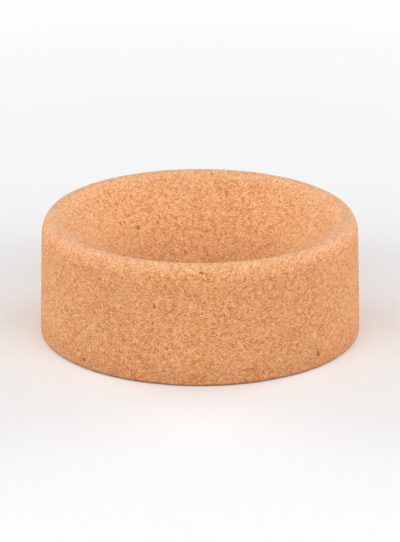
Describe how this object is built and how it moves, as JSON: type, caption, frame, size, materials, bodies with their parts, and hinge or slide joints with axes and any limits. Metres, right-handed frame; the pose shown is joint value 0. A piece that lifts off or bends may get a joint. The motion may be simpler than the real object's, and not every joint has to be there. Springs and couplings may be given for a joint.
{
  "type": "cork ring",
  "caption": "Ring of pressed cork with a flared seat and a through bore that holds a round-bottomed flask upright on a bench.",
  "frame": {"origin": "centre of the flat base face", "axes": "+Z along the ring's axis, from the base towards the seat; X and Y are equivalent"},
  "size_m": [0.08, 0.08, 0.03],
  "materials": {
    "cork": "matt pressed cork granules, cut and sanded"
  },
  "bodies": {
    "root": {"cork_ring": "cork"}
  },
  "joints": []
}
